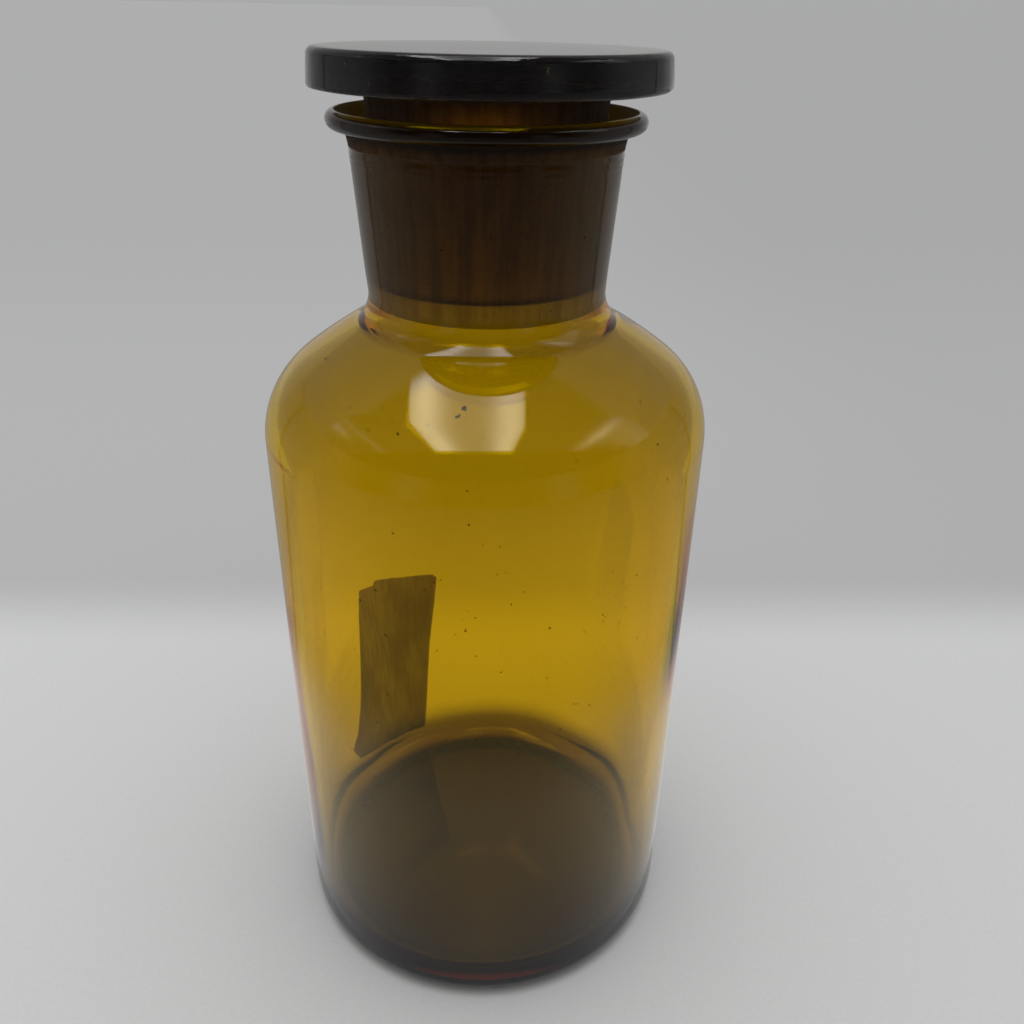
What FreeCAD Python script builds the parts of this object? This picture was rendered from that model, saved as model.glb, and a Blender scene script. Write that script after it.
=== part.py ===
"""Amber glass reagent bottle with a flat-headed ground stopper.

Three separate pieces, each turned or cut about the bottle's upright axis:
  bottle       one blown body: thick base, cylindrical wall, round shoulder, conical neck, rolled lip
  stopper      one pressed piece: a flat disc head on a hollow plug that is ground to the neck
  label_scrap  what is left of a paper label, glued to the back of the wall

Millimetres, +Z up, origin at the centre of the ring that the bottle stands on, front towards -Y.
"""
import FreeCAD
import Part
import math
import os

# ---- driving dimensions: the bottle's outside
BODY_RADIUS = 51.0
HEEL_RADIUS = 6.0
STANDING_RING_INNER_RADIUS = 40.0
PUSH_UP_HEIGHT = 2.6             # hollow under the base, at its centre
SHOULDER_START_Z = 142.2
SHOULDER_RADIUS = 21.0           # the shoulder's lower curve, which runs out of the wall
SHOULDER_TURN = 52.6             # degrees through which the lower curve turns
SHOULDER_TOP_RADIUS = 112.0      # the flatter curve from there to the neck
NECK_BLEND_RADIUS = 7.9          # hollow curve between shoulder and neck
NECK_WAIST_RADIUS = 26.2         # outside of the neck at NECK_WAIST_Z
NECK_WAIST_Z = 176.0
NECK_FLARE = 0.078               # outside of the neck: radius gained per millimetre of height
LIP_BEAD_RADIUS = 1.77           # rolled rim
LIP_BEAD_CENTRE_RADIUS = 30.9
LIP_TOP_Z = 210.5
UNDER_LIP_RADIUS = 2.5

# ---- driving dimensions: the bottle's inside
WALL = 2.8
BASE_THICKNESS = 6.0             # at the edge of the inside floor
BASE_CROWN = 1.6                 # how far the inside floor rises to its centre
INNER_HEEL_RADIUS = 7.0
INNER_NECK_BLEND_RADIUS = 6.0

# ---- driving dimensions: the ground joint and the stopper
GROUND_TAPER = 0.05              # radius gained per millimetre, a 1 in 10 cone
GROUND_CLEARANCE = 0.06          # between plug and neck, on the radius
HEAD_BOTTOM_Z = 214.6
HEAD_THICKNESS = 7.1
HEAD_TOP_RADIUS = 36.0
HEAD_BOTTOM_RADIUS = 36.4
HEAD_TOP_EDGE = 1.5
HEAD_BOTTOM_EDGE = 0.8
PLUG_TOP_RADIUS = 24.8           # at the underside of the head
PLUG_LENGTH = 38.0
PLUG_ROOT_RADIUS = 1.2           # fillet between plug and head
PLUG_RIM = 0.9                   # rounding of the plug's lower edges
PLUG_WALL = 3.2
PLUG_CAVITY_DRAFT = 0.05
PLUG_CAVITY_DEPTH = 35.0
PLUG_CAVITY_CORNER = 7.0

# ---- driving dimensions: the torn label
LABEL_THICKNESS = 0.12
# corners of the scrap, as (degrees round from the back towards -X, height), going round its edge
LABEL_OUTLINE = [(18.7, 68.2), (20.4, 69.4), (30.5, 70.8), (42.6, 73.6), (43.6, 72.2), (51.2, 73.4),
                 (54.0, 54.0), (57.2, 31.0), (60.2, 17.6), (57.0, 12.2), (49.0, 9.8),
                 (40.6, 8.8), (34.0, 9.0), (26.4, 8.8), (24.4, 22.0), (21.9, 43.0), (19.4, 62.0)]
STEPS_PER_LABEL_EDGE = 3         # a straight tear still has to bend round the wall

HEAD_TOP_Z = HEAD_BOTTOM_Z + HEAD_THICKNESS
PLUG_BOTTOM_Z = HEAD_BOTTOM_Z - PLUG_LENGTH


# ---- flat geometry in the half plane of the profile: points are (radius, height)
def point(radius, height):
    return FreeCAD.Vector(radius, 0, height)


def line(start, end):
    return Part.LineSegment(point(*start), point(*end)).toShape()


def arc(start, middle, end):
    return Part.Arc(point(*start), point(*middle), point(*end)).toShape()


def on_circle(centre, radius, degrees):
    angle = math.radians(degrees)
    return (centre[0] + radius * math.cos(angle), centre[1] + radius * math.sin(angle))


def arc_about(centre, radius, start, end):
    """The shorter arc about a centre from one point to another."""
    first = math.atan2(start[1] - centre[1], start[0] - centre[0])
    last = math.atan2(end[1] - centre[1], end[0] - centre[0])
    turn = (last - first + math.pi) % (2 * math.pi) - math.pi
    middle = on_circle(centre, radius, math.degrees(first + turn / 2))
    return arc(start, middle, end)


def cone_radius(height, base_radius, base_height, taper):
    return base_radius + taper * (height - base_height)


def plug_outside(height):
    return cone_radius(height, PLUG_TOP_RADIUS, HEAD_BOTTOM_Z, GROUND_TAPER)


def neck_bore(height):
    return plug_outside(height) + GROUND_CLEARANCE


def blend(line_point, taper, circle_centre, circle_radius, blend_radius, upper):
    """Where an arc outside a steep line touches both the line and a circle.

    Returns the arc's centre, its touching point on the line and the one on the circle.
    """
    length = math.hypot(1, taper)
    along = (taper / length, 1 / length)
    outward = (1 / length, -taper / length)
    foot = (line_point[0] + blend_radius * outward[0], line_point[1] + blend_radius * outward[1])
    offset = (foot[0] - circle_centre[0], foot[1] - circle_centre[1])
    reach = circle_radius + blend_radius
    half_b = offset[0] * along[0] + offset[1] * along[1]
    root = math.sqrt(half_b ** 2 - (offset[0] ** 2 + offset[1] ** 2 - reach ** 2))
    travel = -half_b + (root if upper else -root)
    centre = (foot[0] + travel * along[0], foot[1] + travel * along[1])
    on_line = (centre[0] - blend_radius * outward[0], centre[1] - blend_radius * outward[1])
    share = circle_radius / reach
    on_round = (circle_centre[0] + (centre[0] - circle_centre[0]) * share,
                circle_centre[1] + (centre[1] - circle_centre[1]) * share)
    return centre, on_line, on_round


def turned(edges):
    """Turn a closed profile a whole turn about the upright axis."""
    face = Part.Face(Part.Wire(edges))
    solid = face.revolve(FreeCAD.Vector(0, 0, 0), FreeCAD.Vector(0, 0, 1), 360)
    if solid.Volume < 0:
        solid.reverse()
    return solid


# ---- the bottle
SHOULDER_CENTRE = (BODY_RADIUS - SHOULDER_RADIUS, SHOULDER_START_Z)
SHOULDER_TOP_CENTRE = on_circle(SHOULDER_CENTRE, SHOULDER_RADIUS - SHOULDER_TOP_RADIUS, SHOULDER_TURN)


def base_edges():
    """Under the base: push-up, standing ring and heel."""
    ring_outer = BODY_RADIUS - HEEL_RADIUS
    half = STANDING_RING_INNER_RADIUS / 2
    crown_radius = (STANDING_RING_INNER_RADIUS ** 2 + PUSH_UP_HEIGHT ** 2) / (2 * PUSH_UP_HEIGHT)
    half_height = math.sqrt(crown_radius ** 2 - half ** 2) - (crown_radius - PUSH_UP_HEIGHT)
    return [
        arc((0, PUSH_UP_HEIGHT), (half, half_height), (STANDING_RING_INNER_RADIUS, 0)),
        line((STANDING_RING_INNER_RADIUS, 0), (ring_outer, 0)),
        arc_about((ring_outer, HEEL_RADIUS), HEEL_RADIUS, (ring_outer, 0), (BODY_RADIUS, HEEL_RADIUS)),
    ]


def outer_wall_edges():
    """Wall, shoulder, neck and the hollow under the lip, up to where the bead starts."""
    wall_top = (BODY_RADIUS, SHOULDER_START_Z)
    turn_point = on_circle(SHOULDER_CENTRE, SHOULDER_RADIUS, SHOULDER_TURN)
    waist = (NECK_WAIST_RADIUS, NECK_WAIST_Z)
    low_centre, neck_start, shoulder_end = blend(
        waist, NECK_FLARE, SHOULDER_TOP_CENTRE, SHOULDER_TOP_RADIUS, NECK_BLEND_RADIUS, upper=True)
    bead_centre = (LIP_BEAD_CENTRE_RADIUS, LIP_TOP_Z - LIP_BEAD_RADIUS)
    high_centre, neck_end, bead_start = blend(
        waist, NECK_FLARE, bead_centre, LIP_BEAD_RADIUS, UNDER_LIP_RADIUS, upper=False)
    edges = [
        line((BODY_RADIUS, HEEL_RADIUS), wall_top),
        arc_about(SHOULDER_CENTRE, SHOULDER_RADIUS, wall_top, turn_point),
        arc_about(SHOULDER_TOP_CENTRE, SHOULDER_TOP_RADIUS, turn_point, shoulder_end),
        arc_about(low_centre, NECK_BLEND_RADIUS, shoulder_end, neck_start),
        line(neck_start, neck_end),
        arc_about(high_centre, UNDER_LIP_RADIUS, neck_end, bead_start),
    ]
    return edges, bead_centre, bead_start


def lip_edges(bead_centre, bead_start):
    """The rolled bead and the trumpet mouth that leads into the ground bore."""
    outermost = (bead_centre[0] + LIP_BEAD_RADIUS, bead_centre[1])
    crest = (bead_centre[0], LIP_TOP_Z)
    mouth_radius = (bead_centre[0] - neck_bore(LIP_TOP_Z)) / (1 - GROUND_TAPER)
    mouth_centre = (bead_centre[0], LIP_TOP_Z - mouth_radius)
    bore_top = (bead_centre[0] - mouth_radius, mouth_centre[1])
    edges = [
        arc_about(bead_centre, LIP_BEAD_RADIUS, bead_start, outermost),
        arc_about(bead_centre, LIP_BEAD_RADIUS, outermost, crest),
        arc_about(mouth_centre, mouth_radius, crest, bore_top),
    ]
    return edges, bore_top


def inner_wall_edges(bore_top):
    """Ground bore, shoulder, wall and floor, down the inside to the axis."""
    inner_radius = BODY_RADIUS - WALL
    turn_point = on_circle(SHOULDER_CENTRE, SHOULDER_RADIUS - WALL, SHOULDER_TURN)
    centre, bore_end, shoulder_start = blend(
        bore_top, GROUND_TAPER, SHOULDER_TOP_CENTRE, SHOULDER_TOP_RADIUS - WALL,
        INNER_NECK_BLEND_RADIUS, upper=True)
    wall_top = (inner_radius, SHOULDER_START_Z)
    heel_top = (inner_radius, BASE_THICKNESS + INNER_HEEL_RADIUS)
    heel_centre = (inner_radius - INNER_HEEL_RADIUS, BASE_THICKNESS + INNER_HEEL_RADIUS)
    floor_edge = (heel_centre[0], BASE_THICKNESS)
    floor_centre = (0, BASE_THICKNESS + BASE_CROWN)
    floor_radius = (floor_edge[0] ** 2 + BASE_CROWN ** 2) / (2 * BASE_CROWN)
    return [
        line(bore_top, bore_end),
        arc_about(centre, INNER_NECK_BLEND_RADIUS, bore_end, shoulder_start),
        arc_about(SHOULDER_TOP_CENTRE, SHOULDER_TOP_RADIUS - WALL, shoulder_start, turn_point),
        arc_about(SHOULDER_CENTRE, SHOULDER_RADIUS - WALL, turn_point, wall_top),
        line(wall_top, heel_top),
        arc_about(heel_centre, INNER_HEEL_RADIUS, heel_top, floor_edge),
        arc_about((0, floor_centre[1] - floor_radius), floor_radius, floor_edge, floor_centre),
        line(floor_centre, (0, PUSH_UP_HEIGHT)),
    ]


def bottle():
    wall, bead_centre, bead_start = outer_wall_edges()
    lip, bore_top = lip_edges(bead_centre, bead_start)
    return turned(base_edges() + wall + lip + inner_wall_edges(bore_top))


# ---- the stopper
def head_edges():
    """Flat disc head: top face, rounded top edge, drafted side and the lower edge."""
    top_corner = (HEAD_TOP_RADIUS - HEAD_TOP_EDGE, HEAD_TOP_Z - HEAD_TOP_EDGE)
    side_top = (HEAD_TOP_RADIUS, top_corner[1])
    side_bottom = (HEAD_BOTTOM_RADIUS, HEAD_BOTTOM_Z + HEAD_BOTTOM_EDGE)
    bottom_corner = (HEAD_BOTTOM_RADIUS - HEAD_BOTTOM_EDGE, HEAD_BOTTOM_Z)
    root_start = (PLUG_TOP_RADIUS + PLUG_ROOT_RADIUS, HEAD_BOTTOM_Z)
    return [
        line((0, HEAD_TOP_Z), (top_corner[0], HEAD_TOP_Z)),
        arc_about(top_corner, HEAD_TOP_EDGE, (top_corner[0], HEAD_TOP_Z), side_top),
        line(side_top, side_bottom),
        arc_about((bottom_corner[0], side_bottom[1]), HEAD_BOTTOM_EDGE, side_bottom, bottom_corner),
        line(bottom_corner, root_start),
    ]


def plug_edges():
    """Fillet under the head, ground cone, rounded rim and the pressed cavity."""
    root_z = HEAD_BOTTOM_Z - PLUG_ROOT_RADIUS
    root_end = (plug_outside(root_z), root_z)
    root_middle = on_circle((PLUG_TOP_RADIUS + PLUG_ROOT_RADIUS, root_z), PLUG_ROOT_RADIUS, 135)
    rim_z = PLUG_BOTTOM_Z + PLUG_RIM
    outer_rim = (plug_outside(rim_z), rim_z)
    outer_foot = (outer_rim[0] - PLUG_RIM, PLUG_BOTTOM_Z)
    inner_rim = (plug_outside(PLUG_BOTTOM_Z) - PLUG_WALL, rim_z)
    inner_foot = (inner_rim[0] + PLUG_RIM, PLUG_BOTTOM_Z)
    cavity_top = PLUG_BOTTOM_Z + PLUG_CAVITY_DEPTH
    corner_z = cavity_top - PLUG_CAVITY_CORNER
    corner_radius = cone_radius(corner_z, inner_rim[0], rim_z, -PLUG_CAVITY_DRAFT)
    corner_centre = (corner_radius - PLUG_CAVITY_CORNER, corner_z)
    return [
        arc((PLUG_TOP_RADIUS + PLUG_ROOT_RADIUS, HEAD_BOTTOM_Z), root_middle, root_end),
        line(root_end, outer_rim),
        arc_about((outer_foot[0], rim_z), PLUG_RIM, outer_rim, outer_foot),
        line(outer_foot, inner_foot),
        arc_about((inner_foot[0], rim_z), PLUG_RIM, inner_foot, inner_rim),
        line(inner_rim, (corner_radius, corner_z)),
        arc_about(corner_centre, PLUG_CAVITY_CORNER, (corner_radius, corner_z),
                  (corner_centre[0], cavity_top)),
        line((corner_centre[0], cavity_top), (0, cavity_top)),
        line((0, cavity_top), (0, HEAD_TOP_Z)),
    ]


def stopper():
    return turned(head_edges() + plug_edges())


# ---- the label
def on_wall(radius, degrees, height):
    """A point on the wall, measured round from the back (+Y) towards -X."""
    angle = math.radians(degrees)
    return FreeCAD.Vector(-radius * math.sin(angle), radius * math.cos(angle), height)


def label_scrap():
    """A thin shell of the wall's curve, cut by the torn outline seen straight on."""
    middle = sum(degrees for degrees, _ in LABEL_OUTLINE) / len(LABEL_OUTLINE)
    facing = on_wall(1.0, middle, 0)
    corners = []
    for index, corner in enumerate(LABEL_OUTLINE):
        following = LABEL_OUTLINE[(index + 1) % len(LABEL_OUTLINE)]
        for step in range(STEPS_PER_LABEL_EDGE):
            share = step / STEPS_PER_LABEL_EDGE
            degrees = corner[0] + (following[0] - corner[0]) * share
            height = corner[1] + (following[1] - corner[1]) * share
            place = on_wall(BODY_RADIUS, degrees, height)
            depth = place.x * facing.x + place.y * facing.y
            corners.append(place - facing * depth)
    outline = Part.Face(Part.makePolygon(corners + corners[:1]))
    punch = outline.extrude(facing * (BODY_RADIUS * 2))
    height = SHOULDER_START_Z - HEEL_RADIUS
    foot = FreeCAD.Vector(0, 0, HEEL_RADIUS)
    paper = Part.makeCylinder(BODY_RADIUS + LABEL_THICKNESS, height, foot)
    paper = paper.cut(Part.makeCylinder(BODY_RADIUS, height, foot))
    return paper.common(punch).Solids[0]


def main():
    os.makedirs("parts", exist_ok=True)
    pieces = {"bottle": bottle(), "stopper": stopper(), "label_scrap": label_scrap()}
    for name, shape in pieces.items():
        shape.exportStep("parts/" + name + ".step")
        box = shape.BoundBox
        print(name, shape.ShapeType, "valid", shape.isValid(), "cm3 %.2f" % (shape.Volume / 1000),
              "z %.2f to %.2f" % (box.ZMin, box.ZMax), "x %.2f to %.2f" % (box.XMin, box.XMax))


main()
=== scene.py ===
"""Amber reagent bottle with its flat-headed ground stopper and the scrap of its label.

The shapes are turned again from the same dimensions as the CAD model, fine enough for clear glass
to bend light smoothly, with the small faults that blown and pressed glass has.
"""
import bmesh
import bpy
import math
import random
from mathutils import Matrix, Vector, geometry, kdtree, noise


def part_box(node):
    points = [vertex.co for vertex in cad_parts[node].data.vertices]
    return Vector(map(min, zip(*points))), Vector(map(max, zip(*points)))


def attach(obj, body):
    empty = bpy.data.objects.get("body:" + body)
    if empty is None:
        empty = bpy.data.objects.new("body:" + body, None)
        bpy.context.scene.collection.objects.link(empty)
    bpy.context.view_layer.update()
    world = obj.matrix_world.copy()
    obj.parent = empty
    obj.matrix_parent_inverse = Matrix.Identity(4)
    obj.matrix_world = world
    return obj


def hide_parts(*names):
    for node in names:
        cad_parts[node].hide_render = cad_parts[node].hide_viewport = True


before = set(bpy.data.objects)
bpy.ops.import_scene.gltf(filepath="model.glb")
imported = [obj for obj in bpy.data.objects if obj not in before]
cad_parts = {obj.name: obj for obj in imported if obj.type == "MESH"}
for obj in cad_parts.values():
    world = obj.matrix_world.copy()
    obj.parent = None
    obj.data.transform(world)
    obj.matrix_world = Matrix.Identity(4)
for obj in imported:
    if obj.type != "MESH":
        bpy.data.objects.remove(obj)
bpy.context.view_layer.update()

MM = 0.001
SEGMENTS = 320                   # round the axis
ARC_STEP = 0.45 * MM             # longest piece of a curved profile
LINE_STEP = 2.0 * MM             # longest piece of a straight profile
FINE_STEP = 0.35 * MM            # the same where there are ridges


# ---- sizes read from the frame
bottle_low, bottle_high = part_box("bottle")
stopper_low, stopper_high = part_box("stopper")
BODY_RADIUS = (bottle_high.x - bottle_low.x) / 2
LIP_TOP_Z = bottle_high.z
HEAD_TOP_Z = stopper_high.z
PLUG_BOTTOM_Z = stopper_low.z
HEAD_BOTTOM_RADIUS = (stopper_high.x - stopper_low.x) / 2

# ---- the bottle's outside
HEEL_RADIUS = 6.0 * MM
STANDING_RING_INNER_RADIUS = 40.0 * MM
PUSH_UP_HEIGHT = 2.6 * MM
SHOULDER_START_Z = 142.2 * MM
SHOULDER_RADIUS = 21.0 * MM
SHOULDER_TURN = math.radians(52.6)
SHOULDER_TOP_RADIUS = 112.0 * MM
NECK_BLEND_RADIUS = 7.9 * MM
NECK_WAIST_RADIUS = 26.2 * MM
NECK_WAIST_Z = 176.0 * MM
NECK_FLARE = 0.078
LIP_BEAD_RADIUS = 1.77 * MM
LIP_BEAD_CENTRE_RADIUS = 30.9 * MM
UNDER_LIP_RADIUS = 2.5 * MM

# ---- the bottle's inside
WALL = 2.8 * MM
BASE_THICKNESS = 6.0 * MM
BASE_CROWN = 1.6 * MM
INNER_HEEL_RADIUS = 7.0 * MM
INNER_NECK_BLEND_RADIUS = 6.0 * MM

# ---- the ground joint and the stopper
GROUND_TAPER = 0.05
GROUND_CLEARANCE = 0.06 * MM
GROUND_MOUTH_RADIUS = 30.6 * MM  # the grinding also touches the mouth, up to here
HEAD_THICKNESS = 7.1 * MM
HEAD_TOP_EDGE = 1.5 * MM
HEAD_BOTTOM_EDGE = 0.8 * MM
HEAD_DRAFT = 0.4 * MM            # the head is this much wider at its lower edge
PLUG_TOP_RADIUS = 24.8 * MM
PLUG_ROOT_RADIUS = 1.2 * MM
PLUG_RIM = 0.9 * MM
PLUG_WALL = 3.2 * MM
PLUG_CAVITY_DRAFT = 0.05
PLUG_CAVITY_DEPTH = 35.0 * MM
PLUG_CAVITY_CORNER = 7.0 * MM

HEAD_BOTTOM_Z = HEAD_TOP_Z - HEAD_THICKNESS
HEAD_TOP_RADIUS = HEAD_BOTTOM_RADIUS - HEAD_DRAFT

# ---- faults of hand-finished glass
NECK_LEAN = 0.05 * MM            # the neck stands this far to the +X side of the body
SHOULDER_LEAN = 0.45 * MM        # the shoulder is fuller on that side
HEAD_OFFSET = 0.65 * MM          # the head sits off centre on its plug

RIDGE_HEIGHT = 0.11 * MM         # tool marks round the neck, below the lip
RIDGE_PLACES = (5.6 * MM, 8.1 * MM, 9.3 * MM)    # below the top of the lip
RIDGE_WIDTH = 0.42 * MM
WALL_WAVE = 0.35 * MM            # unevenness of the blown inside
SKIN_WAVE = 0.07 * MM            # unevenness of the moulded outside
EDGE_WAVE = 0.10 * MM            # unevenness of the head's two edges
NUB_HEIGHT = 0.45 * MM           # bit of glass left by the mould on the head's -X side
NUB_ABOVE_EDGE = 1.6 * MM
NUB_SIZE = 0.9 * MM
SEED_COUNT = 46                  # small bubbles in the wall
SEED_STRETCH = 1.7               # how much longer than wide a bubble is
FLECK_PLACES = ((-4.3 * MM, -38.9 * MM, 161.3 * MM), (-5.4 * MM, -40.6 * MM, 160.3 * MM))
FLECK_SIZE = 1.1 * MM            # the dark fleck in the shoulder, in two overlapping spots
FLECK_TONE = (0.03, 0.02, 0.01)
HEAD_SEED = (10.0 * MM, -33.6 * MM, 2.3 * MM)    # one larger bubble: X, Y, below the head's top
HEAD_SEED_SIZE = 0.33 * MM
HEAD_SMALL_SEEDS = 14
HEAD_SMALL_SEED_SIZE = 0.13 * MM

# ---- colours: what a metre of glass does to light, as (1 - colour) * density
BOTTLE_AMBER = (0.982, 0.949, 0.30)
STOPPER_AMBER = (0.910, 0.860, 0.0)
AMBER_DENSITY = 1000.0
BOTTLE_SKIN = (1.0, 0.84, 0.30)  # the rest of the amber, on the surface
STOPPER_SKIN = (1.0, 1.0, 1.0)
BOTTLE_DUST = 0.0                # share of the skin that scatters like dust
STOPPER_DUST = 0.006
GLASS_IOR = 1.52
GROUND_ROUGHNESS = 0.9
GROUND_DARK = (0.50, 0.40, 0.36)
GROUND_LIGHT = (0.95, 0.84, 0.76)
SPECK_TONE = (0.10, 0.09, 0.07)  # dirt in specks all over
DUST_ROUGHNESS = 0.035
SHOULDER_SHADE_TONE = (0.47, 0.47, 0.46)   # painted shade, darkening the inside of the shoulder
SHOULDER_SHADE_START_Z = 118 * MM
SHOULDER_SHADE_FULL_Z = 152 * MM
SIDE_SHADE_TONE = (0.16, 0.135, 0.12) # painted shade on the outside of the lower wall, left and right
SIDE_SHADE_FULL_Z = 8 * MM
SIDE_SHADE_END_Z = 66 * MM
SIDE_SHADE_START = 0.20               # in body radii sideways from the axis
SIDE_SHADE_FORWARD = 0.5              # it is stronger towards the front
BASE_AND_LIP_SHADE_TONE = (0.09, 0.068, 0.06) # painted shade on the skin of the base and of the rolled lip
BASE_SHADE_Z = 9 * MM
BASE_SHADE_END_Z = 19 * MM
LIP_SHADE = 4.2 * MM             # below the top of the lip
LIP_SHADE_END = 6.0 * MM

PAPER_CLEAN = (0.74, 0.74, 0.56)
PAPER_STAINED = (0.56, 0.54, 0.40)
PAPER_FIBRE = (0.38, 0.36, 0.26)
PAPER_TORN = (0.72, 0.68, 0.58)
PAPER_CLEARNESS = 0.55           # thin old paper lets some light through
PAPER_IOR = 1.2
PAPER_ROUGHNESS = 0.92
PAPER_BUMP = 0.06 * MM

# ---- the floor: flat, with painted shade further behind the bottle
FLOOR_SIZE = 200.0               # from the middle to each side
FLOOR_FRONT = (0.775, 0.778, 0.775)
FLOOR_NEAR = (0.780, 0.783, 0.780)
# painted shade behind the bottle and further back
FLOOR_SHADED_BEHIND = (0.578, 0.578, 0.578)
FLOOR_FAR = (0.540, 0.540, 0.540)
FLOOR_RIGHT = 0.93               # painted shade: the floor is a little darker to the right
FRONT_END_Y, NEAR_START_Y = -0.02, 0.10
SHADE_BEHIND_START_Y, SHADE_BEHIND_END_Y = 0.10, 0.155
FAR_START_Y, FAR_END_Y = 0.25, 0.90
SHADE_HALF_WIDTH = 49.5 * MM     # the floor under the bottle is dark, a little to the front
SHADE_HALF_DEPTH = 45.5 * MM
SHADE_FORWARD = 5.5 * MM
SHADE_LEFT_OVER = 0.56           # how much of the floor's own tone is left there

# ---- the room that only the glass sees: mirrored in it, and in front also through it
ROOM_RADIUS = 1.3
ROOM_HEIGHT = 0.62
PANEL_LEFT, PANEL_RIGHT = -0.235, 0.108
PANEL_FRONT, PANEL_BACK = -0.375, 0.05
PANEL_EDGE = 0.01                # how softly the panel ends in front
PANEL_FADE = 0.05                # and at the back
PANEL_GLOW = 1.15
PANEL_STRIPS = ((3.2, -0.185, 0.055), (2.8, 0.062, 0.05))    # brightness, X and half width
CEILING_GLOW = 0.015             # away from the panel
BEHIND_GLOW = 0.25               # of the ceiling behind the panel
CORNER_AWAY = 118                # degrees from the front, where the backdrop's sides end
CORNER_LINE = 0.75               # how much darker the line there is
CORNER_WIDTH = 1.2               # half the line's width, in degrees
NEAR_GLOW_FRONT, NEAR_GLOW_BACK = 0.36, 0.62     # of the floor close to the bottle
FAR_GLOW_FRONT, FAR_GLOW_BACK = 0.10, 0.20       # and of the floor further out
NEAR_GLOW_END, FAR_GLOW_START = 0.105, 0.17
WALL_GLOW = 0.02                 # in front
DOOR_GLOW, DOOR_AWAY, DOOR_WIDTH = 0.12, 37, 8   # a paler upright strip on either side
FRONT_AWAY = 95                  # degrees from the front, within which sheets also show through glass
FADE_AWAY = 20                   # degrees from the front, where they start to fade
FADE_LEAST = 0.45                # how much they are faded straight in front
SURROUNDINGS = 0.50              # what they fade to, the brightness of the pale room
SHEET_HEIGHT = 0.6 * MM          # of the mirrored floor above the real one
SHEET_GAP = 4 * MM               # between it and the bottle

# ---- the light
SKY_LOW, SKY_HIGH = 0.40, 0.55
SKY_COLOUR = (0.985, 0.99, 1.0)
OVERHEAD_POWER = 0.85
OVERHEAD_SPREAD = math.radians(110)

# ---- the camera, placed in body radii from the bottle's axis
CAMERA_DISTANCE = 3.996
CAMERA_HEIGHT = 4.4845
CAMERA_PITCH = math.radians(28.6)
CAMERA_YAW = math.radians(1.835)
CAMERA_ROLL = math.radians(1.05)
CAMERA_LENS = 32.6
CAMERA_SENSOR = 36.0

# ---- the label
LABEL_LIFT = 0.01 * MM           # the paper starts this far outside the glass
LABEL_THICKNESS = 0.10 * MM
LABEL_OUTLINE = [(18.7, 68.2), (20.4, 69.4), (30.5, 70.8), (42.6, 73.6), (43.6, 72.2), (51.2, 73.4),
                 (54.0, 54.0), (57.2, 31.0), (60.2, 17.6), (57.0, 12.2), (49.0, 9.8),
                 (40.6, 8.8), (34.0, 9.0), (26.4, 8.8), (24.4, 22.0), (21.9, 43.0), (19.4, 62.0)]
TEAR_STEP = 0.35 * MM
TEAR_DEPTH = 0.35 * MM
PAPER_GRID = 0.7 * MM
TEAR_WIDTH = 1.3 * MM            # how far in the paper is thinned by the tear


# ---- profiles: lists of (radius, height), in metres
def line_points(start, end, longest=LINE_STEP):
    length = math.dist(start, end)
    steps = max(1, math.ceil(length / longest))
    return [(start[0] + (end[0] - start[0]) * i / steps, start[1] + (end[1] - start[1]) * i / steps)
            for i in range(steps + 1)]


def arc_points(centre, radius, start, end):
    """Points on the shorter arc about a centre."""
    first = math.atan2(start[1] - centre[1], start[0] - centre[0])
    last = math.atan2(end[1] - centre[1], end[0] - centre[0])
    turn = (last - first + math.pi) % (2 * math.pi) - math.pi
    steps = max(3, math.ceil(abs(turn) * radius / ARC_STEP))
    return [(centre[0] + radius * math.cos(first + turn * i / steps),
             centre[1] + radius * math.sin(first + turn * i / steps)) for i in range(steps + 1)]


def on_circle(centre, radius, angle):
    return (centre[0] + radius * math.cos(angle), centre[1] + radius * math.sin(angle))


def chain(*stretches):
    """Joins stretches end to end, without repeating the shared points."""
    points = []
    for stretch in stretches:
        points += stretch if not points else stretch[1:]
    return points


def cone_radius(height, base_radius, base_height, taper):
    return base_radius + taper * (height - base_height)


def plug_outside(height):
    return cone_radius(height, PLUG_TOP_RADIUS, HEAD_BOTTOM_Z, GROUND_TAPER)


def neck_bore(height):
    return plug_outside(height) + GROUND_CLEARANCE


def blend(line_point, taper, circle_centre, circle_radius, blend_radius, upper):
    """Centre and both touching points of an arc that joins a steep line to a circle."""
    length = math.hypot(1, taper)
    along = (taper / length, 1 / length)
    outward = (1 / length, -taper / length)
    foot = (line_point[0] + blend_radius * outward[0], line_point[1] + blend_radius * outward[1])
    offset = (foot[0] - circle_centre[0], foot[1] - circle_centre[1])
    reach = circle_radius + blend_radius
    half_b = offset[0] * along[0] + offset[1] * along[1]
    root = math.sqrt(half_b ** 2 - (offset[0] ** 2 + offset[1] ** 2 - reach ** 2))
    travel = -half_b + (root if upper else -root)
    centre = (foot[0] + travel * along[0], foot[1] + travel * along[1])
    on_line = (centre[0] - blend_radius * outward[0], centre[1] - blend_radius * outward[1])
    share = circle_radius / reach
    on_round = (circle_centre[0] + (centre[0] - circle_centre[0]) * share,
                circle_centre[1] + (centre[1] - circle_centre[1]) * share)
    return centre, on_line, on_round


def dome_points(edge, top):
    """A shallow dome from its edge to its top on the axis."""
    rise = top[1] - edge[1]
    radius = (edge[0] ** 2 + rise ** 2) / (2 * rise)
    return arc_points((0, top[1] - radius), radius, edge, top)


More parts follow.
